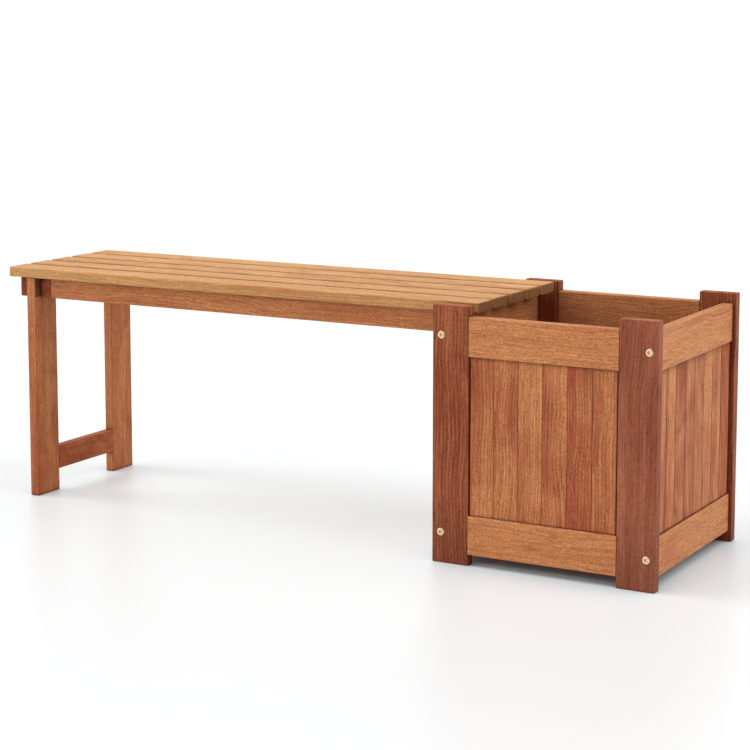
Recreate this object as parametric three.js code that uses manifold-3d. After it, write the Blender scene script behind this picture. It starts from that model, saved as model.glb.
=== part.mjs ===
// Garden bench with a square planter box at one end, in oiled hardwood.
// Millimetres. +X runs along the bench to the planter, +Y to the back, +Z up.
// The origin is on the floor, under the middle of the whole piece.
import * as THREE from "three";
import { mergeVertices } from "three/addons/utils/BufferGeometryUtils.js";
import Module from "manifold-3d";

const wasm = await Module();
wasm.setup();
const { Manifold, Mesh } = wasm;

// Planter box: four posts, with a framed panel of boards between each two.
const planterWidth = 373.5;
const planterDepth = 357.5;
const postHeight = 410;
const postWidth = 62.5;
const postThickness = 18;
const railHeight = 62;
const railThickness = 18;
const topRailDrop = 16.5;
const bottomRailLift = 18;
const sideRailInset = 5.5;

// Panel boards, tongued and grooved along their edges and held in the rails' grooves.
const frontBoardCount = 6;
const sideBoardCount = 8;
const boardThickness = 9;
const boardRecess = 3;
const boardSeat = 8;
const boardBevel = 0.6;
const jointGap = 0.6;
const edgeGap = 1.5;
const tongueThickness = 3;
const tongueLength = 5;

// Planter floor: loose slats on two cleats, with gaps that let water out.
const floorSlatCount = 4;
const floorSlatThickness = 12;
const floorDrainGap = 10;
const cleatWidth = 20;
const cleatHeight = 22;
const cleatLift = 10;

// Seat.
const seatRun = 867;
const seatLap = 61;
const seatSetback = 34.5;
const slatCount = 5;
const slatThickness = 17.5;
const slatGap = 10;
const slatRound = 1.5;
const slatUnderRound = 2;

// Frame under the seat.
const bearerThickness = 25;
const bearerHeight = 36;
const bearerSetback = 52;
const bearerOverhang = 11;
const apronThickness = 25;

// Leg frame at the free end.
const legThickness = 18;
const legWidth = 60.5;
const legSetback = 37;
const stretcherHeight = 41;
const stretcherLift = 38.5;

// Joinery.
const tenonThickness = 6;
const tenonLength = 20;
const tenonShoulder = 8;
const stubLength = 10;
const fit = 0.3;

// Screws: a cap sunk flush in the post or bearer, and its shank in the end grain behind.
const capRadius = 6.75;
const capDepth = 4;
const shankRadius = 3.2;
const shankInRail = 40;
const legScrewSpacing = 24;
const legScrewBite = 15;

// Finish of the edges, and how finely curves are faceted.
const edgeEase = 1.2;
const roundSteps = 4;
const boreSides = 20;
const overrun = 1;

const weld = 1e-4;
const coordinates = 3;
const fullTurn = Math.PI * 2;
const quarterTurn = fullTurn / 4;

// Places that several pieces share.
const bedTop = postHeight - topRailDrop;
const topRail = [bedTop - railHeight, bedTop];
const bottomRail = [bottomRailLift, bottomRailLift + railHeight];
const boardLevel = [bottomRail[1] - boardSeat, topRail[0] + boardSeat];
const benchLength = seatRun + planterWidth;
const planterLeft = benchLength / 2 - planterWidth;
const planterRight = benchLength / 2;
const front = -planterDepth / 2;
const back = planterDepth / 2;
const seatLeft = -benchLength / 2;
const bearerLevel = [bedTop - bearerHeight, bedTop];

const xAxis = new THREE.Vector3(1, 0, 0);
const yAxis = new THREE.Vector3(0, 1, 0);
const zAxis = new THREE.Vector3(0, 0, 1);
const turned = {
  x: new THREE.Matrix4().makeBasis(yAxis, zAxis, xAxis),
  y: new THREE.Matrix4().makeBasis(zAxis, xAxis, yAxis),
  z: new THREE.Matrix4(),
};

const span = (a, b) => [Math.min(a, b), Math.max(a, b)];
const grown = ([a, b], by) => [a - by, b + by];
const middle = ([a, b]) => (a + b) / 2;

function solidOf(geometry) {
  const bare = new THREE.BufferGeometry();
  bare.setAttribute("position", geometry.getAttribute("position"));
  bare.setIndex(geometry.index);
  const merged = mergeVertices(bare, weld);
  return new Manifold(
    new Mesh({
      numProp: coordinates,
      vertProperties: merged.attributes.position.array,
      triVerts: new Uint32Array(merged.index.array),
    }),
  );
}

// An outline drawn in the other two axes, in their order, run along this one.
// With an ease, the edges round its two ends are chamfered by that much.
function bar(axis, outline, [from, to], ease = 0) {
  const points = outline.map(([a, b]) => (axis === "y" ? [b, a] : [a, b]));
  const shape = new THREE.Shape(points.map((p) => new THREE.Vector2(...p)));
  const depth = to - from - ease - ease;
  const geometry = new THREE.ExtrudeGeometry(shape, {
    depth,
    bevelEnabled: ease > 0,
    bevelThickness: ease,
    bevelSize: ease,
    bevelOffset: -ease,
    bevelSegments: 1,
  });
  const place = geometry.getAttribute("position");
  for (let i = 0; i < place.count; i += 1) {
    const upper = place.getZ(i) > depth / 2;
    const outside = upper ? place.getZ(i) - depth : -place.getZ(i);
    const inset = outside > ease / 2 ? 0 : ease;
    place.setZ(i, upper ? to - inset : from + inset);
  }
  return solidOf(geometry.applyMatrix4(turned[axis]));
}

// A rectangle with its corners cut or rounded, the upper two apart from the lower two.
function rectangle([a0, a1], [b0, b1], low = 0, high = low, steps = 1) {
  const corners = [
    [a1 - high, b1 - high, high],
    [a0 + high, b1 - high, high],
    [a0 + low, b0 + low, low],
    [a1 - low, b0 + low, low],
  ];
  return corners.flatMap(([a, b, radius], corner) => {
    const count = radius > 0 ? steps + 1 : 1;
    return Array.from({ length: count }, (_, i) => {
      const angle = quarterTurn * (corner + i / steps);
      return [a + radius * Math.cos(angle), b + radius * Math.sin(angle)];
    });
  });
}

const box = (x, y, z) => bar("z", rectangle(x, y), z);

// A round bore along X or Y, from one depth to another.
function bore(axis, radius, [a, b], range) {
  const circle = Array.from({ length: boreSides }, (_, i) => {
    const angle = (fullTurn * i) / boreSides;
    return [a + radius * Math.cos(angle), b + radius * Math.sin(angle)];
  });
  return bar(axis, circle, range);
}

const cut = (solid, tools) => tools.reduce((left, tool) => left.subtract(tool), solid);
const join = (solid, pieces) => pieces.reduce((whole, piece) => whole.add(piece), solid);

const bench = new THREE.Group();

function put(name, solid, colour) {
  const mesh = solid.getMesh();
  const geometry = new THREE.BufferGeometry();
  geometry.setAttribute("position", new THREE.BufferAttribute(mesh.vertProperties, coordinates));
  geometry.setIndex(new THREE.BufferAttribute(mesh.triVerts, 1));
  const flat = geometry.toNonIndexed();
  flat.computeVertexNormals();
  const material = new THREE.MeshStandardMaterial({ color: colour, roughness: oiledRoughness });
  const piece = new THREE.Mesh(flat, material);
  piece.name = name;
  bench.add(piece);
}

const postColour = 0x8a4a33;
const railColour = 0xc08a5a;
const boardColour = 0xa9633f;
const seatColour = 0xc48d5c;
const frameColour = 0xb0723f;
const floorColour = 0x9c6a45;
const oiledRoughness = 0.6;

// The four sides of the planter. `run` goes from post to post, `face` is the outside of
// the rails, and `inward` tells which way the planter's inside lies.
const betweenPosts = [planterLeft + postWidth, planterRight - postWidth];
const alongSide = [front + postThickness, back - postThickness];
const wide = { axis: "x", run: betweenPosts, boards: frontBoardCount };
const deep = { axis: "y", run: alongSide, boards: sideBoardCount };
const sides = {
  front: { ...wide, face: front, inward: 1 },
  back: { ...wide, face: back, inward: -1 },
  left: { ...deep, face: planterLeft + sideRailInset, inward: 1 },
  right: { ...deep, face: planterRight - sideRailInset, inward: -1 },
};
const depthIn = (side, from, to) => span(side.face + side.inward * from, side.face + side.inward * to);
const railAcross = (side) => depthIn(side, 0, railThickness);
const tongueFrom = boardRecess + (boardThickness - tongueThickness) / 2;
const tongueAcross = (side) => depthIn(side, tongueFrom, tongueFrom + tongueThickness);
const tenonAcross = (side) => {
  const cheek = (railThickness - tenonThickness) / 2;
  return depthIn(side, cheek, cheek + tenonThickness);
};

// The part of a rail's height that its tenon keeps, clear of the boards' groove.
const tenonLevels = [
  [topRail[0] + boardSeat + tenonShoulder, topRail[1] - tenonShoulder],
  [bottomRail[0] + tenonShoulder, bottomRail[1] - boardSeat - tenonShoulder],
];
const railLevels = [topRail, bottomRail];
const screwLevels = railLevels.map(middle);
const sideRailMiddle = sideRailInset + railThickness / 2;

// Posts: wide to the front, mortised for the front rails, grooved for the boards at the
// panels' edges, and bored for the screws that go into the side rails' ends.
function post(towardsX, towardsY) {
  const outerX = towardsX > 0 ? planterRight : planterLeft;
  const innerX = outerX - towardsX * postWidth;
  const outerY = towardsY > 0 ? back : front;
  const innerY = outerY - towardsY * postThickness;
  const faceSide = towardsY > 0 ? sides.back : sides.front;
  const endSide = towardsX > 0 ? sides.right : sides.left;
  const screwX = outerX - towardsX * sideRailMiddle;
  const acrossX = span(outerX, innerX);
  const acrossY = span(outerY, innerY);
  const grooveLevel = grown(boardLevel, fit);
  const grooveDepth = tongueLength - edgeGap + fit;
  const tools = [
    box(
      span(innerX + towardsX * -overrun, innerX + towardsX * grooveDepth),
      grown(tongueAcross(faceSide), fit),
      grooveLevel,
    ),
    box(
      grown(tongueAcross(endSide), fit),
      span(innerY + towardsY * -overrun, innerY + towardsY * grooveDepth),
      grooveLevel,
    ),
  ];
  for (const level of tenonLevels) {
    const mortise = span(innerX + towardsX * -overrun, innerX + towardsX * (tenonLength + fit));
    tools.push(box(mortise, grown(tenonAcross(faceSide), fit), grown(level, fit)));
  }
  for (const level of screwLevels) {
    const sink = span(outerY + towardsY * overrun, outerY - towardsY * capDepth);
    tools.push(bore("y", capRadius + fit, [screwX, level], sink));
    tools.push(bore("y", shankRadius, [screwX, level], grown(acrossY, overrun)));
  }
  const blank = bar("z", rectangle(acrossX, acrossY, edgeEase), [0, postHeight], edgeEase);
  return cut(blank, tools);
}
for (const [word, towardsY] of [["front", -1], ["back", 1]]) {
  put(`planter_post_${word}_left`, post(-1, towardsY), postColour);
  put(`planter_post_${word}_right`, post(1, towardsY), postColour);
}

// Rails: grooved for the boards. The front and back ones have tenons in the posts, and
// the side ones butt on the posts' inner faces, where the screws hold them.
function rail(side, level, index) {
  const top = index === 0;
  const across = railAcross(side);
  const groove = grown(depthIn(side, boardRecess, boardRecess + boardThickness), fit);
  const edge = top ? level[0] : level[1];
  const grooveLevel = top
    ? [edge - overrun, edge + boardSeat + fit]
    : [edge - boardSeat, edge + overrun];
  const body = bar(side.axis, rectangle(across, level, edgeEase), side.run);
  const tools = [bar(side.axis, rectangle(groove, grooveLevel), grown(side.run, overrun))];
  if (side.axis === "y") {
    for (const end of side.run) {
      const into = end === side.run[0] ? shankInRail : -shankInRail;
      const pilot = span(end - Math.sign(into) * overrun, end + into);
      tools.push(bore("y", shankRadius, [middle(across), screwLevels[index]], pilot));
    }
    return cut(body, tools);
  }
  const tenon = box(grown(side.run, tenonLength), tenonAcross(side), tenonLevels[index]);
  return join(cut(body, tools), [tenon]);
}
for (const [word, side] of Object.entries(sides)) {
  put(`planter_rail_${word}_top`, rail(side, topRail, 0), railColour);
  put(`planter_rail_${word}_bottom`, rail(side, bottomRail, 1), railColour);
}

// Boards: equally wide across a panel, with a fine gap at each joint and a wider one
// beside the posts.
function boardEdges({ run: [from, to], boards }) {
  const pitch = (to - from - edgeGap - edgeGap + jointGap) / boards;
  return Array.from({ length: boards }, (_, i) => {
    const start = from + edgeGap + i * pitch;
    return [start, start + pitch - jointGap];
  });
}

// Across its thickness a board goes from its bevelled outer face to its back.
function board(side, [u0, u1], first) {
  const [t0, t1] = [boardRecess, boardRecess + boardThickness];
  const centre = tongueFrom + tongueThickness / 2;
  const half = tongueThickness / 2;
  const tongue = [
    [u1, centre - half],
    [u1 + tongueLength, centre - half],
    [u1 + tongueLength, centre + half],
    [u1, centre + half],
  ];
  const reach = first ? -tongueLength : tongueLength - jointGap + fit;
  const slack = first ? half : half + fit;
  const farEdge = [
    [u0, centre + slack],
    [u0 + reach, centre + slack],
    [u0 + reach, centre - slack],
    [u0, centre - slack],
  ];
  const outline = [
    [u0 + boardBevel, t0],
    [u1 - boardBevel, t0],
    [u1, t0 + boardBevel],
    ...tongue,
    [u1, t1],
    [u0, t1],
    ...farEdge,
    [u0, t0 + boardBevel],
  ];
  const placed = outline.map(([u, t]) => {
    const place = side.face + side.inward * t;
    return side.axis === "x" ? [u, place] : [place, u];
  });
  return bar("z", placed, boardLevel);
}
for (const [word, side] of Object.entries(sides)) {
  boardEdges(side).forEach((edges, i) => {
    put(`panel_board_${word}_${i + 1}`, board(side, edges, i === 0), boardColour);
  });
}

// Planter floor.
const inside = [railAcross(sides.left)[1], railAcross(sides.right)[0]];
const cleatLevel = [bottomRailLift + cleatLift, bottomRailLift + cleatLift + cleatHeight];
function cleat(side) {
  const across = depthIn(side, railThickness, railThickness + cleatWidth);
  return bar("y", rectangle(across, cleatLevel, edgeEase), alongSide);
}
put("planter_floor_cleat_left", cleat(sides.left), floorColour);
put("planter_floor_cleat_right", cleat(sides.right), floorColour);
const floorPitch = (alongSide[1] - alongSide[0] - floorDrainGap) / floorSlatCount;
for (let i = 0; i < floorSlatCount; i += 1) {
  const start = alongSide[0] + floorDrainGap + i * floorPitch;
  const across = [start, start + floorPitch - floorDrainGap];
  const level = [cleatLevel[1], cleatLevel[1] + floorSlatThickness];
  const slat = bar("x", rectangle(across, level, edgeEase), grown(inside, -fit));
  put(`planter_floor_slat_${i + 1}`, slat, floorColour);
}

// Seat slats: rounded above, level with the posts, and resting on the planter's rail.
const seatAcross = [front + seatSetback, back - seatSetback];
const slatPitch = (seatAcross[1] - seatAcross[0] + slatGap) / slatCount;
for (let i = 0; i < slatCount; i += 1) {
  const start = seatAcross[0] + i * slatPitch;
  const across = [start, start + slatPitch - slatGap];
  const level = [bedTop, bedTop + slatThickness];
  const profile = rectangle(across, level, slatUnderRound, slatRound, roundSteps);
  const slat = bar("x", profile, [seatLeft, planterLeft + seatLap], edgeEase);
  put(`seat_slat_${i + 1}`, slat, seatColour);
}

// Leg frame: two flat legs with a stretcher between them, clasped by two bearers.
const legOuter = seatLeft + bearerOverhang + bearerThickness;
const legX = [legOuter, legOuter + legThickness];
const stretcherLevel = [stretcherLift, stretcherLift + stretcherHeight];
const stretcherTenon = {
  x: grown([middle(legX), middle(legX)], tenonThickness / 2),
  z: grown(stretcherLevel, -tenonShoulder),
};
const betweenLegs = [front + legSetback + legWidth, back - legSetback - legWidth];
const bearerY = [front + bearerSetback, back - bearerSetback];
const bearerOuterX = [legX[0] - bearerThickness, legX[0]];
const bearerInnerX = [legX[1], legX[1] + bearerThickness];
const clasped = [
  [Math.max(bearerY[0], front + legSetback), betweenLegs[0]],
  [betweenLegs[1], Math.min(bearerY[1], back - legSetback)],
];
const legScrews = clasped.flatMap((across) => [
  middle(across) - legScrewSpacing / 2,
  middle(across) + legScrewSpacing / 2,
]);

const legScrewBore = (y, radius, x) => bore("x", radius, [y, middle(bearerLevel)], x);

function leg(inner, towardsY) {
  const across = span(inner, inner + towardsY * legWidth);
  const mortise = span(inner - towardsY * overrun, inner + towardsY * (tenonLength + fit));
  const blank = bar("z", rectangle(legX, across, edgeEase), [0, bedTop], edgeEase);
  const tools = [box(grown(stretcherTenon.x, fit), mortise, grown(stretcherTenon.z, fit))];
  for (const y of legScrews) tools.push(legScrewBore(y, shankRadius, grown(legX, overrun)));
  return cut(blank, tools);
}
put("leg_front", leg(betweenLegs[0], -1), frameColour);
put("leg_back", leg(betweenLegs[1], 1), frameColour);

const stretcher = join(bar("y", rectangle(legX, stretcherLevel, edgeEase), betweenLegs), [
  box(stretcherTenon.x, grown(betweenLegs, tenonLength), stretcherTenon.z),
]);
put("leg_stretcher", stretcher, frameColour);

// Bearers run across under the slats, and the aprons run along between them.
const stubLevel = grown(bearerLevel, -tenonShoulder);
const apronAcross = [
  [bearerY[0], bearerY[0] + apronThickness],
  [bearerY[1] - apronThickness, bearerY[1]],
];
const stubAcross = (across) => grown([middle(across), middle(across)], tenonThickness / 2);

const outerBearer = bar("y", rectangle(bearerOuterX, bearerLevel, edgeEase), bearerY, edgeEase);
const outerBores = legScrews.flatMap((y) => [
  legScrewBore(y, capRadius + fit, [bearerOuterX[0] - overrun, bearerOuterX[0] + capDepth]),
  legScrewBore(y, shankRadius, grown(bearerOuterX, overrun)),
]);
put("seat_bearer_outer", cut(outerBearer, outerBores), frameColour);

const innerBearer = bar("y", rectangle(bearerInnerX, bearerLevel, edgeEase), bearerY, edgeEase);
const innerMortises = apronAcross.map((across) =>
  box(
    [bearerInnerX[1] - stubLength - fit, bearerInnerX[1] + overrun],
    grown(stubAcross(across), fit),
    grown(stubLevel, fit),
  ),
);
const innerBores = legScrews.map((y) =>
  legScrewBore(y, shankRadius, [bearerInnerX[0] - overrun, bearerInnerX[0] + legScrewBite]),
);
put("seat_bearer_inner", cut(innerBearer, [...innerMortises, ...innerBores]), frameColour);

const apronRun = [bearerInnerX[1], planterLeft + sideRailInset];
const crossBearers = [
  ["seat_bearer_middle", grown([middle(apronRun), middle(apronRun)], bearerThickness / 2)],
  ["seat_bearer_planter", [apronRun[1] - bearerThickness, apronRun[1]]],
];
const crossRun = [apronAcross[0][1], apronAcross[1][0]];

apronAcross.forEach((across, i) => {
  const inner = crossRun[i];
  const into = i === 0 ? -1 : 1;
  const body = bar("x", rectangle(across, bearerLevel, edgeEase), apronRun);
  const stub = box([apronRun[0] - stubLength, middle(apronRun)], stubAcross(across), stubLevel);
  const mortises = crossBearers.map(([, x]) =>
    box(
      grown(stubAcross(x), fit),
      span(inner - into * overrun, inner + into * (stubLength + fit)),
      grown(stubLevel, fit),
    ),
  );
  put(`seat_apron_${i === 0 ? "front" : "back"}`, cut(join(body, [stub]), mortises), frameColour);
});
for (const [name, x] of crossBearers) {
  const body = bar("y", rectangle(x, bearerLevel, edgeEase), crossRun);
  const stub = box(stubAcross(x), grown(crossRun, stubLength), stubLevel);
  put(name, join(body, [stub]), frameColour);
}

export default bench;
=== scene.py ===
import math
import random

import bmesh
import bpy
from mathutils import Matrix, Vector


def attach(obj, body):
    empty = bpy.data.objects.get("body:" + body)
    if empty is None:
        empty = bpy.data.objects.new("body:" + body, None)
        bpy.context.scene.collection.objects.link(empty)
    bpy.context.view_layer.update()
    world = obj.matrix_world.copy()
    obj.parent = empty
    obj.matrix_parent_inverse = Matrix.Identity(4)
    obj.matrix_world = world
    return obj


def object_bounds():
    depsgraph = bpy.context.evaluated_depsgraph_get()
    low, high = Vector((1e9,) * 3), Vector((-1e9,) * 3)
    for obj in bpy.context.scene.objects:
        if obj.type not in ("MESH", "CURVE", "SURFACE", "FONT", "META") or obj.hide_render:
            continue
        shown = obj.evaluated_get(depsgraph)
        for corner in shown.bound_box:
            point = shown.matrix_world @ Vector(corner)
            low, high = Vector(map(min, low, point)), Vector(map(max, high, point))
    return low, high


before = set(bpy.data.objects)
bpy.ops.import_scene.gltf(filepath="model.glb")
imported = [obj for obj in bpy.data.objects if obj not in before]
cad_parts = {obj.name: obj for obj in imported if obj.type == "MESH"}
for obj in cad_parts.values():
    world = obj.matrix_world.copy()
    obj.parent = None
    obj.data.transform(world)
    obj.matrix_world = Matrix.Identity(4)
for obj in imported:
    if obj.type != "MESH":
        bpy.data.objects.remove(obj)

cad_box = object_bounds()
scene = bpy.context.scene

SEED = 41
draw = random.Random(SEED)

MM = 0.001
WHITE = (1, 1, 1, 1)

# Camera, at the photograph's viewing angle.
CAMERA_PLACE = Vector((1.68187, -2.92525, 0.86102))
CAMERA_YAW = math.radians(29.25)
CAMERA_PITCH = math.radians(-7.11)
CAMERA_SHIFT = -0.15
CAMERA_SIGHT = 50
SENSOR_WIDTH = 36.0
FOCAL_LENGTH = 96.717


def make_camera():
    data = bpy.data.cameras.new("camera")
    data.sensor_width = SENSOR_WIDTH
    data.lens = FOCAL_LENGTH
    data.shift_y = CAMERA_SHIFT
    data.clip_end = CAMERA_SIGHT
    camera = bpy.data.objects.new("camera", data)
    camera.location = CAMERA_PLACE
    camera.rotation_euler = (math.radians(90) + CAMERA_PITCH, 0, CAMERA_YAW)
    scene.collection.objects.link(camera)
    scene.camera = camera


make_camera()


# Helpers for shader nodes.
def srgb(red, green, blue):
    """A colour written as it shows on screen, 0 to 255, as linear RGBA."""
    def linear(value):
        share = value / 255
        return share / 12.92 if share <= 0.04045 else ((share + 0.055) / 1.055) ** 2.4
    return (linear(red), linear(green), linear(blue), 1)


# The sockets of a mix node that are for colours.
MIX_FACTOR = 0
MIX_FIRST = 6
MIX_SECOND = 7
MIX_RESULT = 2


class Tree:
    """A node tree with short ways to add what the materials here use."""

    def __init__(self, tree):
        self.tree = tree

    def add(self, kind, inputs=None, **settings):
        node = self.tree.nodes.new(kind)
        for name, value in settings.items():
            setattr(node, name, value)
        self.feed(node, inputs or {})
        return node

    def feed(self, node, inputs):
        """Links or writes each value into the node's input of that name or number."""
        for key, value in inputs.items():
            socket = node.inputs[key]
            if isinstance(value, bpy.types.NodeSocket):
                self.tree.links.new(value, socket)
            else:
                socket.default_value = value

    def math(self, operation, *values, clamp=False):
        inputs = dict(enumerate(values))
        node = self.add("ShaderNodeMath", inputs, operation=operation, use_clamp=clamp)
        return node.outputs[0]

    def vector(self, operation, *values):
        return self.add("ShaderNodeVectorMath", dict(enumerate(values)), operation=operation)

    def dot(self, a, b):
        return self.vector("DOT_PRODUCT", a, b).outputs["Value"]

    def mix(self, factor, a, b, blend="MIX"):
        inputs = {MIX_FACTOR: factor, MIX_FIRST: a, MIX_SECOND: b}
        node = self.add("ShaderNodeMix", inputs, data_type="RGBA", blend_type=blend)
        return node.outputs[MIX_RESULT]

    def range(self, value, low, high, to_low=0.0, to_high=1.0):
        inputs = {"Value": value, "From Min": low, "From Max": high}
        inputs.update({"To Min": to_low, "To Max": to_high})
        node = self.add("ShaderNodeMapRange", inputs, interpolation_type="SMOOTHSTEP")
        return node.outputs[0]

    def swing(self, base, value, weight):
        """The base, moved down or up as the value is under or over a half."""
        return self.math("MULTIPLY_ADD", self.math("SUBTRACT", value, 0.5), weight, base)

    def noise(self, place, cells, detail, roughness=0.5):
        """Noise with its own number of cells, per metre, along each axis of the place."""
        scaled = self.vector("MULTIPLY", place, cells).outputs[0]
        inputs = {"Vector": scaled, "Scale": 1.0, "Detail": detail, "Roughness": roughness}
        return self.add("ShaderNodeTexNoise", inputs)


# Wood. The pattern works in the tree's own coordinates: Z runs along the grain, and the
# growth rings lie round a pith that passes beside the piece.
RING_SPACING = 5.2 * MM
RING_SHARPNESS = 1.6
GRAIN_SWAY = 0.035
MEAN_FIGURE = 0.4

# The layers of noise in the pattern: cells per metre across, across and along the grain,
# then the detail and the roughness.
SWAY = ((8, 8, 5), 1)
BLOTCH = ((15, 15, 3.2), 1.5)
BAND = ((85, 85, 2.4), 1, 0.4)
STREAK = ((290, 290, 6), 2, 0.55)
FIBRE = ((590, 590, 32), 3, 0.65)
FLECK = ((590, 590, 340), 2, 0.65)
PORE = ((900, 900, 90), 2)
PORE_RANGE = (0.56, 0.7)
BLOCK = ((0, 0, 9), 0)
BLOCK_RANGE = (0.45, 0.55)

# How much each layer moves the pattern's redness, shade, roughness and height.
BLOTCH_RED = 1.3
BAND_RED = 0.85
FLECK_RED = 0.5
STREAK_FIGURE = 2.4
FIBRE_SHADE = 1.1
FLECK_SHADE = 2.1
STREAK_SHADE = -0.3
PORE_SHADE = -0.2
MEAN_SHADE = 1.01
MEAN_ROUGHNESS = 0.5
STREAK_ROUGHNESS = 0.25
PORE_ROUGHNESS = 0.2
FIBRE_HEIGHT = 0.5
RING_HEIGHT = -0.12
PORE_HEIGHT = -0.7

PATTERN_INPUTS = {
    "Place": "NodeSocketVector",
    "Tan": "NodeSocketColor",
    "Red": "NodeSocketColor",
    "Redness": "NodeSocketFloat",
    "Figure": "NodeSocketFloat",
    "Contrast": "NodeSocketFloat",
    "Blocks": "NodeSocketFloat",
}
PATTERN_OUTPUTS = {
    "Colour": "NodeSocketColor",
    "Roughness": "NodeSocketFloat",
    "Height": "NodeSocketFloat",
}


def growth_rings(t, grain):
    """Waves from 0 to 1 with the distance from the pith, late wood dark and narrow."""
    flat = t.vector("MULTIPLY", grain, (1, 1, 0)).outputs[0]
    radius = t.vector("LENGTH", flat).outputs["Value"]
    turn = t.math("MULTIPLY", radius, math.tau / RING_SPACING)
    wave = t.math("ADD", t.math("MULTIPLY", t.math("SINE", turn), 0.5), 0.5)
    return t.math("POWER", wave, RING_SHARPNESS)


def swaying(t, place):
    """The grain is interlocked: the fibres lean slowly from side to side along the piece."""
    lean = t.noise(place, *SWAY).outputs["Color"]
    lean = t.vector("SUBTRACT", lean, (0.5, 0.5, 0.5)).outputs[0]
    lean = t.vector("MULTIPLY", lean, (GRAIN_SWAY, GRAIN_SWAY, 0)).outputs[0]
    return t.vector("ADD", place, lean).outputs[0]


def wood_pattern():
    group = bpy.data.node_groups.new("oiled_wood", "ShaderNodeTree")
    for name, kind in PATTERN_INPUTS.items():
        group.interface.new_socket(name, in_out="INPUT", socket_type=kind)
    for name, kind in PATTERN_OUTPUTS.items():
        group.interface.new_socket(name, in_out="OUTPUT", socket_type=kind)
    t = Tree(group)
    given = t.add("NodeGroupInput").outputs
    place = given["Place"]
    grain = swaying(t, place)
    rings = growth_rings(t, grain)
    blotch = t.noise(place, *BLOTCH).outputs[0]
    band = t.noise(grain, *BAND).outputs[0]
    streak = t.noise(grain, *STREAK).outputs[0]
    fibre = t.noise(grain, *FIBRE).outputs[0]
    fleck = t.noise(grain, *FLECK).outputs[0]
    pore = t.range(t.noise(grain, *PORE).outputs[0], *PORE_RANGE)
    block = t.range(t.noise(place, *BLOCK).outputs[0], *BLOCK_RANGE)

    red = t.swing(given["Redness"], blotch, BLOTCH_RED)
    red = t.swing(red, band, BAND_RED)
    red = t.swing(red, fleck, FLECK_RED)
    red = t.swing(red, block, given["Blocks"])
    figure = t.math("SUBTRACT", t.swing(rings, streak, STREAK_FIGURE), MEAN_FIGURE)
    figure = t.math("MULTIPLY", figure, given["Figure"])
    red = t.math("ADD", red, figure, clamp=True)

    shade = t.swing(0.0, fibre, FIBRE_SHADE)
    shade = t.swing(shade, fleck, FLECK_SHADE)
    shade = t.swing(shade, streak, STREAK_SHADE)
    shade = t.math("MULTIPLY_ADD", pore, PORE_SHADE, shade)
    shade = t.math("MULTIPLY_ADD", shade, given["Contrast"], MEAN_SHADE)
    grey = t.add("ShaderNodeCombineColor", {"Red": shade, "Green": shade, "Blue": shade})
    colour = t.mix(red, given["Tan"], given["Red"])
    colour = t.mix(1.0, colour, grey.outputs[0], blend="MULTIPLY")

    rough = t.swing(MEAN_ROUGHNESS, streak, STREAK_ROUGHNESS)
    rough = t.math("MULTIPLY_ADD", pore, PORE_ROUGHNESS, rough)
    height = t.math("MULTIPLY_ADD", fibre, FIBRE_HEIGHT, t.math("MULTIPLY", rings, RING_HEIGHT))
    height = t.math("MULTIPLY_ADD", pore, PORE_HEIGHT, height)
    t.add("NodeGroupOutput", {"Colour": colour, "Roughness": rough, "Height": height})
    return group


PATTERN = wood_pattern()

# Where a piece is cut from the tree, in metres.
PITH_NEAREST = 0.055
PITH_SPREAD = 0.034
TREE_REACH = 3
GRAIN_ORDER = {"x": ("Y", "Z", "X"), "y": ("Z", "X", "Y"), "z": ("X", "Y", "Z")}
AXES = {"x": (1, 0, 0), "y": (0, 1, 0), "z": (0, 0, 1)}

# Faces count as turned to an axis from the first of these cosines to the second.
FACING_RANGE = (0.75, 0.95)
END_TONE = (0.62, 0.55, 0.54, 1)
# The slats' ends are darker end grain, and painted shade besides.
SLAT_END_AND_SHADE_TONE = (0.46, 0.41, 0.38, 1)
# The posts' ends are painted paler: a painted highlight on their tops, where light falls from
# above.
POST_END_HIGHLIGHT_TONE = (1.4, 1.7, 1.9, 1)
END_ROUGHNESS = 0.2

# Edges, eased and painted paler in patches: partly wear, partly a painted highlight where light
# catches them.
EDGE_RADIUS = 1.3 * MM
EDGE_SAMPLES = 4
EDGE_RANGE = (0.995, 0.86)
RUB = ((60, 60, 18), 3)
RUB_RANGE = (0.35, 0.6)
EDGE_WEAR_AND_GLINT_TONE = (1.6, 1.6, 1.6, 1)

# Painted shade: darkening where a piece is closed in by others, in its corners, joints and
# gaps, and where other pieces would shade it.
PAINTED_SHADE_TONE = srgb(96, 60, 44)
CORNER_SHADE_REACH = 12 * MM
CORNER_SHADE_SAMPLES = 8
CORNER_SHADE_RANGE = (0.9, 0.4)
# Painted shade on faces that look along +X above a level, where a bearer stands close.
POCKET_BLUR = 2 * MM
POCKET_SHADE_WEIGHT = 0.6
# Painted shade along sharp edges, in the joints and gaps between pieces.
SEAM_RADIUS = 2 * MM
SEAM_SAMPLES = 6
SEAM_RANGE = (0.995, 0.93)

# Oil finish.
OILED_GLOSS = 0.08
BUMP_STRENGTH = 0.35
BUMP_DEPTH = 0.4 * MM


def place_in_tree(t, parts, grain):
    """The piece's coordinates, turned to its grain and moved to its own place in a tree."""
    first, second, third = (parts[letter] for letter in GRAIN_ORDER[grain])
    turned = t.add("ShaderNodeCombineXYZ", {"X": first, "Y": second, "Z": third})
    angle = draw.uniform(0, math.tau)
    away = PITH_NEAREST + draw.uniform(0, PITH_SPREAD)
    along = draw.uniform(-TREE_REACH, TREE_REACH)
    move = Vector((away * math.cos(angle), away * math.sin(angle), along))
    return t.vector("ADD", turned.outputs[0], move).outputs[0]


def eased_surface(t, radius, samples):
    """The normal with edges eased, and its cosine to the true one, which is 1 on the flat."""
    eased = t.add("ShaderNodeBevel", {"Radius": radius}, samples=samples).outputs[0]
    surface = t.add("ShaderNodeNewGeometry").outputs["Normal"]
    return eased, t.dot(eased, surface)


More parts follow.
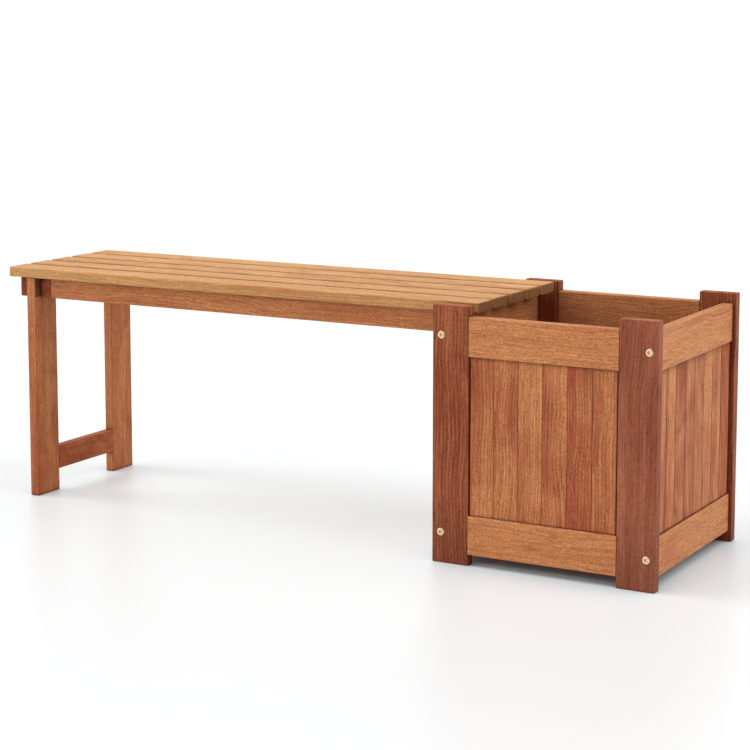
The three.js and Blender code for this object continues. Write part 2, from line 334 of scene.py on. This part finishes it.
def painted_shade_share(t, seen, parts, corner_shade, seam, shade, pocket):
    """How much painted shade a piece gets from what stands round it, from 0 to 1."""
    # Painted shade in corners and joints, where the surface is closed in nearby.
    open_above = t.add("ShaderNodeAmbientOcclusion", {"Distance": CORNER_SHADE_REACH},
                       samples=CORNER_SHADE_SAMPLES)
    shut = t.math("MULTIPLY", t.range(open_above.outputs["AO"], *CORNER_SHADE_RANGE), corner_shade)
    for axis, level, reach, weight in shade:
        near = t.range(parts[axis], level + reach, level)
        shut = t.math("MAXIMUM", shut, t.math("MULTIPLY", near, weight))
    # Painted shade beside the bearer.
    if pocket:
        facing = t.range(t.dot(seen["Normal"], AXES["x"]), *FACING_RANGE)
        above = t.range(parts["Z"], pocket, pocket + POCKET_BLUR)
        inside = t.math("MULTIPLY", above, facing)
        shut = t.math("MAXIMUM", shut, t.math("MULTIPLY", inside, POCKET_SHADE_WEIGHT))
    # Painted shade along the sharp edges.
    if seam > 0:
        _, cosine = eased_surface(t, SEAM_RADIUS, SEAM_SAMPLES)
        line = t.range(cosine, *SEAM_RANGE)
        shut = t.math("MAXIMUM", shut, t.math("MULTIPLY", line, seam))
    return t.math("MINIMUM", shut, 1.0)


def wood(name, grain, tan, red, redness=0.5, figure=0.25, contrast=1.0, blocks=0.0, wear_and_glint=0.5,
         corner_shade=0.6, seam=0.0, end_tone=END_TONE, shade=(), pocket=None):
    """Oiled wood for one piece, with its grain along an axis.

    Redness goes from tan at 0 to red at 1. Figure is the play of streaks and rings, and
    blocks are the steps of tone along the grain. Edges are paler, partly from wear and partly
    as a painted highlight. Corner shade is painted shade on what lies closed in between
    pieces, a seam paints shade along sharp edges, the end tone colours the ends of the grain,
    and a shade darkens the piece near each level along an axis. Above the pocket's level a
    bearer stands close to the faces that look along +X, and they get painted shade.
    """
    material = bpy.data.materials.new(name)
    material.use_nodes = True
    t = Tree(material.node_tree)
    seen = t.add("ShaderNodeTexCoord").outputs
    parts = t.add("ShaderNodeSeparateXYZ", {"Vector": seen["Object"]}).outputs
    place = place_in_tree(t, parts, grain)
    inputs = {"Place": place, "Tan": tan, "Red": red, "Redness": redness}
    inputs.update({"Figure": figure, "Contrast": contrast, "Blocks": blocks})
    pattern = t.add("ShaderNodeGroup", inputs, node_tree=PATTERN).outputs

    facing = t.math("ABSOLUTE", t.dot(seen["Normal"], AXES[grain]))
    end_grain = t.range(facing, *FACING_RANGE)
    eased, cosine = eased_surface(t, EDGE_RADIUS, EDGE_SAMPLES)
    patches = t.range(t.noise(place, *RUB).outputs[0], *RUB_RANGE)
    edge_wear_and_glint = t.math("MULTIPLY", t.range(cosine, *EDGE_RANGE), patches)
    shut = painted_shade_share(t, seen, parts, corner_shade, seam, shade, pocket)

    colour = t.mix(end_grain, pattern["Colour"], end_tone, blend="MULTIPLY")
    # Edges paler: partly wear, partly a painted highlight.
    colour = t.mix(t.math("MULTIPLY", edge_wear_and_glint, wear_and_glint), colour, EDGE_WEAR_AND_GLINT_TONE, blend="MULTIPLY")
    # All the painted shade of the piece, from corners, joints, levels and the pocket.
    colour = t.mix(shut, colour, PAINTED_SHADE_TONE, blend="MULTIPLY")
    rough = t.math("MULTIPLY_ADD", end_grain, END_ROUGHNESS, pattern["Roughness"])
    inputs = {"Strength": BUMP_STRENGTH, "Distance": BUMP_DEPTH}
    inputs.update({"Height": pattern["Height"], "Normal": eased})
    bump = t.add("ShaderNodeBump", inputs)
    t.feed(t.tree.nodes["Principled BSDF"], {
        "Base Color": colour,
        "Roughness": rough,
        "Specular IOR Level": OILED_GLOSS,
        "Normal": bump.outputs[0],
    })
    return material


def dress(name, *cut, **look):
    """Puts oiled wood on a piece. What follows the name is what wood() takes after it."""
    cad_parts[name].material_slots[0].material = wood(name, *cut, **look)


def box_of(name):
    """The low and the high corner of a piece."""
    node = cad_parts[name]
    corners = [node.matrix_world @ Vector(corner) for corner in node.bound_box]
    return tuple(Vector(pick(values) for values in zip(*corners)) for pick in (min, max))


# The tan and the red that each kind of wood lies between.
STOCK = (srgb(188, 126, 80), srgb(154, 80, 49))
BOARD_STOCK = (srgb(192, 129, 82), srgb(148, 75, 49))
POST_STOCK = (srgb(158, 92, 61), srgb(119, 56, 34))
# The front right post is paler, partly its own tone and partly painted light on its lit side.
FRONT_RIGHT_POST_TONE_AND_LIGHT_STOCK = (srgb(162, 100, 73), srgb(125, 63, 44))
SEAT_STOCK = (srgb(204, 154, 100), srgb(178, 118, 74))

# How red each board and slat is, as they were picked for the panels and the seat.
BOARD_REDNESS = {
    "front": (0.67, 0.46, 0.42, 0.5, 0.85, 0.66),
    "back": (0.4, 0.65, 0.35, 0.5, 0.75, 0.45),
    "left": (0.6, 0.35, 0.45, 0.7, 0.4, 0.55, 0.3, 0.5),
    "right": (0.43, 0.52, 0.79, 0.66, 0.47, 0.37, 0.35, 0.75),
}
SLAT_REDNESS = (0.36, 0.3, 0.45, 0.25, 0.4)
# How much painted shade lies along each slat's sharp edges.
SLAT_SEAM = (0.0, 1.0, 0.7, 0.65, 0.6)

# Painted shade and other darkening on the pieces: along which axis, from which level, how far
# from it, how much.
TOP_RAIL_FOOT = box_of("planter_rail_front_top")[0].z
BOTTOM_RAIL_HEAD = box_of("planter_rail_front_bottom")[1].z
BEARER_FOOT = box_of("seat_bearer_inner")[0].z
BOARD_EDGE_GAP = 1.5 * MM
PANEL_LEFT = box_of("planter_post_front_left")[1].x + BOARD_EDGE_GAP
PANEL_RIGHT = box_of("planter_post_front_right")[0].x - BOARD_EDGE_GAP
SLAT_FLANK = 408 * MM
# Painted shade on the boards, under the top rail, over the bottom rail and beside the posts.
FRONT_SHADE = (("Z", TOP_RAIL_FOOT, -7 * MM, 0.45), ("Z", BOTTOM_RAIL_HEAD, 4 * MM, 0.65),
               ("X", PANEL_LEFT, 2 * MM, 0.9), ("X", PANEL_RIGHT, -3 * MM, 0.9))
SIDE_SHADE = (("Z", TOP_RAIL_FOOT, -15 * MM, 0.45), ("Z", BOTTOM_RAIL_HEAD, 5 * MM, 0.8))
# The posts darker towards the floor.
FOOT_SHADE = (("Z", 0.0, 140 * MM, 0.35),)
# Painted shade on the slats below their tops, which makes their fronts darker than their tops.
FLANK_SHADE = (("Z", SLAT_FLANK, 2 * MM, 0.16),)

# The finish of each kind of piece, apart from its redness.
POST_LOOK = {"figure": 0.45, "end_tone": POST_END_HIGHLIGHT_TONE, "shade": FOOT_SHADE}
FRONT_RIGHT_POST_LOOK = {**POST_LOOK, "figure": 0.2, "contrast": 0.8}
RAIL_LOOK = {"wear_and_glint": 1.0, "corner_shade": 0.4}
FRONT_BOARD_LOOK = {"blocks": 0.18, "wear_and_glint": 0.9, "corner_shade": 0.2, "shade": FRONT_SHADE}
SIDE_BOARD_LOOK = {"blocks": 0.12, "corner_shade": 0.5, "seam": 1.1, "shade": SIDE_SHADE}
SLAT_LOOK = {"figure": 0.4, "contrast": 0.7, "wear_and_glint": 0.2, "corner_shade": 1.3,
             "end_tone": SLAT_END_AND_SHADE_TONE, "shade": FLANK_SHADE}
BEARER_LOOK = {"wear_and_glint": 1.0, "corner_shade": 1.0}

POSTS = {
    "front_left": (POST_STOCK, POST_LOOK),
    "front_right": (FRONT_RIGHT_POST_TONE_AND_LIGHT_STOCK, FRONT_RIGHT_POST_LOOK),
    "back_left": (POST_STOCK, POST_LOOK),
    "back_right": (POST_STOCK, POST_LOOK),
}
POST_REDNESS = 0.55
RAIL_REDNESS = 0.15
LEG_REDNESS = {"leg_front": 0.6, "leg_back": 0.53}
BEARER_REDNESS = {
    "leg_stretcher": 0.9,
    "seat_bearer_outer": 0.7,
    "seat_bearer_inner": 0.9,
    "seat_bearer_middle": 0.5,
    "seat_bearer_planter": 0.5,
}
APRON_REDNESS = 0.25
PLANTER_FLOOR_SLATS = 4


def dress_planter():
    for word, (stock, look) in POSTS.items():
        dress(f"planter_post_{word}", "z", *stock, redness=POST_REDNESS, **look)
    for word, grain in (("front", "x"), ("back", "x"), ("left", "y"), ("right", "y")):
        for level in ("top", "bottom"):
            rail = f"planter_rail_{word}_{level}"
            dress(rail, grain, *STOCK, redness=RAIL_REDNESS, **RAIL_LOOK)
    for word, rednesses in BOARD_REDNESS.items():
        look = SIDE_BOARD_LOOK if word in ("left", "right") else FRONT_BOARD_LOOK
        for i, redness in enumerate(rednesses):
            dress(f"panel_board_{word}_{i + 1}", "z", *BOARD_STOCK, redness=redness, **look)


def dress_seat():
    for i, (redness, seam) in enumerate(zip(SLAT_REDNESS, SLAT_SEAM)):
        dress(f"seat_slat_{i + 1}", "x", *SEAT_STOCK, redness=redness, seam=seam, **SLAT_LOOK)


def dress_frame():
    for name, redness in LEG_REDNESS.items():
        # The legs get painted shade on their +X faces above the bearer's foot.
        dress(name, "z", *STOCK, redness=redness, pocket=BEARER_FOOT)
    for name, redness in BEARER_REDNESS.items():
        dress(name, "y", *STOCK, redness=redness, **BEARER_LOOK)
    for word in ("front", "back"):
        dress(f"seat_apron_{word}", "x", *STOCK, redness=APRON_REDNESS)


def dress_planter_floor():
    for word in ("left", "right"):
        dress(f"planter_floor_cleat_{word}", "y", *STOCK)
    for i in range(PLANTER_FLOOR_SLATS):
        dress(f"planter_floor_slat_{i + 1}", "x", *STOCK)


dress_planter()
dress_seat()
dress_frame()
dress_planter_floor()


# Screws: a domed cap with a hexagonal socket, sunk in its bore, and a plain shank.
CAP_RADIUS = 6.45 * MM
CAP_HEIGHT = 3.8 * MM
CAP_SEAT = 0.1 * MM
SHANK_RADIUS = 2.9 * MM
SHANK_END = 50 * MM
SHANK_TIP = 55 * MM
SOCKET_HALF = 2.5 * MM
SOCKET_LIP = 0.3 * MM
SOCKET_DEPTH = 2.4 * MM
CAP_SIDES = 48
SHARP_ANGLE = math.radians(35)
# The rounding of the cap's rim: radius and depth of each ring.
RIM = (
    (5.0 * MM, 0.0),
    (5.65 * MM, -0.06 * MM),
    (6.1 * MM, -0.25 * MM),
    (6.36 * MM, -0.55 * MM),
    (6.45 * MM, -0.95 * MM),
)


def round_ring(mesh, radius, depth):
    """A ring of the screw, round its axis X, which points out of the wood."""
    turns = (math.tau * i / CAP_SIDES for i in range(CAP_SIDES))
    return [mesh.verts.new((depth, radius * math.cos(a), radius * math.sin(a))) for a in turns]


def socket_ring(mesh, half, depth):
    """A hexagon across the same directions as the round rings, so that faces stay neat."""
    points = []
    for i in range(CAP_SIDES):
        a = math.tau * i / CAP_SIDES
        off_side = (a + math.pi / 6) % (math.pi / 3) - math.pi / 6
        reach = half / math.cos(off_side)
        points.append(mesh.verts.new((depth, reach * math.cos(a), reach * math.sin(a))))
    return points


def join_rings(mesh, rings):
    for first, second in zip(rings, rings[1:]):
        for i in range(CAP_SIDES):
            j = (i + 1) % CAP_SIDES
            mesh.faces.new((first[i], first[j], second[j], second[i]))


def close_ring(mesh, points, middle, outward):
    centre = mesh.verts.new((middle, 0, 0))
    for i in range(CAP_SIDES):
        j = (i + 1) % CAP_SIDES
        corners = (points[i], points[j], centre)
        mesh.faces.new(corners if outward else corners[::-1])


def screw_mesh():
    work = bmesh.new()
    rings = [
        socket_ring(work, SOCKET_HALF, -SOCKET_DEPTH),
        socket_ring(work, SOCKET_HALF, -SOCKET_LIP),
        socket_ring(work, SOCKET_HALF + SOCKET_LIP, 0),
    ]
    rings += [round_ring(work, radius, depth) for radius, depth in RIM]
    rings += [
        round_ring(work, CAP_RADIUS, -CAP_HEIGHT),
        round_ring(work, SHANK_RADIUS, -CAP_HEIGHT),
        round_ring(work, SHANK_RADIUS, -SHANK_END),
    ]
    join_rings(work, rings)
    close_ring(work, rings[0], -SOCKET_DEPTH, outward=True)
    close_ring(work, rings[-1], -SHANK_TIP, outward=False)
    bmesh.ops.recalc_face_normals(work, faces=work.faces)
    for face in work.faces:
        face.smooth = True
    mesh = bpy.data.meshes.new("screw")
    work.to_mesh(mesh)
    work.free()
    mesh.set_sharp_from_angle(angle=SHARP_ANGLE)
    return mesh


METAL_CLOUD = ((260, 260, 260), 3)
METAL_CLOUD_RANGE = (0.35, 0.65)
METAL_GRIT = ((2600, 2600, 2600), 2)
METAL_GRIT_RANGE = (0.3, 0.7)
METAL_DARK = srgb(206, 172, 132)
METAL_LIGHT = srgb(226, 194, 156)
METAL_SHARE = 0.6
METAL_ROUGHNESS = (0.34, 0.5)
METAL_BUMP_STRENGTH = 0.15
METAL_BUMP_DEPTH = 0.1 * MM


def screw_metal():
    material = bpy.data.materials.new("screw_metal")
    material.use_nodes = True
    t = Tree(material.node_tree)
    place = t.add("ShaderNodeTexCoord").outputs["Object"]
    cloud = t.range(t.noise(place, *METAL_CLOUD).outputs[0], *METAL_CLOUD_RANGE)
    grit = t.noise(place, *METAL_GRIT).outputs[0]
    inputs = {"Strength": METAL_BUMP_STRENGTH, "Distance": METAL_BUMP_DEPTH, "Height": grit}
    bump = t.add("ShaderNodeBump", inputs)
    t.feed(t.tree.nodes["Principled BSDF"], {
        "Base Color": t.mix(cloud, METAL_DARK, METAL_LIGHT),
        "Metallic": METAL_SHARE,
        "Roughness": t.range(grit, *METAL_GRIT_RANGE, *METAL_ROUGHNESS),
        "Normal": bump.outputs[0],
    })
    return material


# Each pair of leg screws stands this far to both sides of the middle of what is clasped.
LEG_SCREW_OFFSET = 12 * MM


def post_screw_places():
    """Name, middle of the cap's face and turn of each screw from a post into a side rail."""
    low, high = cad_box
    for side, y, around in (("front", low[1], -90), ("back", high[1], 90)):
        for end in ("left", "right"):
            for level in ("bottom", "top"):
                x, _, z = sum(box_of(f"planter_rail_{end}_{level}"), Vector()) / 2
                yield f"post_screw_{side}_{end}_{level}", (x, y, z), around


def leg_screw_places():
    """The same for the screws that hold the outer bearer to the legs."""
    low, high = box_of("seat_bearer_outer")
    number = 0
    for leg in ("leg_front", "leg_back"):
        leg_low, leg_high = box_of(leg)
        middle = (max(low.y, leg_low.y) + min(high.y, leg_high.y)) / 2
        for offset in (-LEG_SCREW_OFFSET, LEG_SCREW_OFFSET):
            number += 1
            yield f"leg_screw_{number}", (low.x, middle + offset, (low.z + high.z) / 2), 180


def make_screws():
    mesh = screw_mesh()
    mesh.materials.append(screw_metal())
    sunk = Matrix.Translation((-CAP_SEAT, 0, 0))
    for name, place, around in (*post_screw_places(), *leg_screw_places()):
        screw = bpy.data.objects.new(name, mesh)
        turn = Matrix.Rotation(math.radians(around), 4, "Z")
        roll = Matrix.Rotation(draw.uniform(0, math.tau), 4, "X")
        screw.matrix_world = Matrix.Translation(place) @ turn @ sunk @ roll
        scene.collection.objects.link(screw)
        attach(screw, "root")


make_screws()


# Floor: white where it is open, with the object's soft shade and a faint reflection. The shade
# is partly cast by the lamps and partly painted: close to the object the floor's glow fades and
# its colour cools.
FLOOR_REACH = 30.0
FLOOR_ALBEDO = (0.8, 0.8, 0.8, 1)
FLOOR_SEEN_ALBEDO = (0.405, 0.415, 0.42, 1)
# The floor's colour and glow tint where its painted shadow lies.
FLOOR_PAINTED_SHADOW_ALBEDO = (0.36, 0.405, 0.42, 1)
FLOOR_GLOW = 0.52
FLOOR_PAINTED_SHADOW_TINT = (0.9, 0.97, 1, 1)
FLOOR_SHADE_REACH = 0.15
FLOOR_SHADE_SAMPLES = 8
FLOOR_PAINTED_SHADOW_RANGE = (0.05, 0.78)
FLOOR_NEUTRAL_RANGE = (0.4, 1.0)
FLOOR_GLOSS = 0.2
FLOOR_GLOSS_TINT = (0.96, 1, 1, 1)
FLOOR_ROUGHNESS = 0.38


def seen_directly(t):
    """1 for rays from the camera, also by way of gloss or glass, and 0 for bounced light."""
    path = t.add("ShaderNodeLightPath").outputs
    seen = t.math("MAXIMUM", path["Is Camera Ray"], path["Is Glossy Ray"])
    return t.math("MAXIMUM", seen, path["Is Transmission Ray"])


def floor_material():
    material = bpy.data.materials.new("floor")
    material.use_nodes = True
    t = Tree(material.node_tree)
    t.tree.nodes.remove(t.tree.nodes["Principled BSDF"])
    seen = seen_directly(t)
    shade = t.add("ShaderNodeAmbientOcclusion", {"Distance": FLOOR_SHADE_REACH},
                  samples=FLOOR_SHADE_SAMPLES).outputs["AO"]
    # Painted shadow: the glow fades, and its colour cools, where the object stands close.
    glow_outside_painted_shadow = t.range(shade, *FLOOR_PAINTED_SHADOW_RANGE)
    neutral = t.range(shade, *FLOOR_NEUTRAL_RANGE)
    seen_albedo = t.mix(neutral, FLOOR_PAINTED_SHADOW_ALBEDO, FLOOR_SEEN_ALBEDO)
    albedo = t.mix(seen, FLOOR_ALBEDO, seen_albedo)
    matt = t.add("ShaderNodeBsdfDiffuse", {"Color": albedo}).outputs[0]
    strength = t.math("MULTIPLY", t.math("MULTIPLY", seen, glow_outside_painted_shadow), FLOOR_GLOW)
    tint = t.mix(neutral, FLOOR_PAINTED_SHADOW_TINT, WHITE)
    glow = t.add("ShaderNodeEmission", {"Color": tint, "Strength": strength}).outputs[0]
    both = t.add("ShaderNodeAddShader", {0: matt, 1: glow}).outputs[0]
    inputs = {"Roughness": FLOOR_ROUGHNESS, "Color": FLOOR_GLOSS_TINT}
    gloss = t.add("ShaderNodeBsdfAnisotropic", inputs).outputs[0]
    polished = t.add("ShaderNodeMixShader", {0: FLOOR_GLOSS, 1: both, 2: gloss}).outputs[0]
    t.feed(t.tree.nodes["Material Output"], {"Surface": polished})
    return material


def make_floor():
    mesh = bpy.data.meshes.new("floor")
    work = bmesh.new()
    corners = ((-1, -1), (1, -1), (1, 1), (-1, 1))
    points = [work.verts.new((x * FLOOR_REACH, y * FLOOR_REACH, 0)) for x, y in corners]
    work.faces.new(points)
    work.to_mesh(mesh)
    work.free()
    floor = bpy.data.objects.new("floor", mesh)
    scene.collection.objects.link(floor)
    mesh.materials.append(floor_material())


# Light. The world looks white and lights the object at its own lower level. Each lamp is a
# wide soft one: where it stands, in degrees round from the front and up from the floor, how
# wide it looks, and the level that it adds to a face turned to it.
WORLD_LIGHT = 0.437
LAMP_DISTANCE = 4
LAMPS = {
    "lamp_left": (-78, 43, 26, 0.41),
    "lamp_front": (-45, 33, 65, 0.41),
    "lamp_right": (100, 38, 55, 0.535),
}


def make_world():
    world = bpy.data.worlds.new("studio")
    world.use_nodes = True
    t = Tree(world.node_tree)
    strength = t.math("MULTIPLY_ADD", seen_directly(t), 1.0 - WORLD_LIGHT, WORLD_LIGHT)
    t.feed(t.tree.nodes["Background"], {"Color": WHITE, "Strength": strength})
    scene.world = world


def make_lamp(name, around, up, width, level):
    data = bpy.data.lights.new(name, "SUN")
    data.angle = math.radians(width)
    data.energy = level * math.pi
    lamp = bpy.data.objects.new(name, data)
    a, e = math.radians(around), math.radians(up)
    towards = Vector((math.sin(a) * math.cos(e), -math.cos(a) * math.cos(e), math.sin(e)))
    lamp.location = towards * LAMP_DISTANCE
    lamp.rotation_euler = (-towards).to_track_quat("-Z", "Y").to_euler()
    scene.collection.objects.link(lamp)


make_world()
make_floor()
for lamp_name, setting in LAMPS.items():
    make_lamp(lamp_name, *setting)
scene.view_settings.view_transform = "Standard"
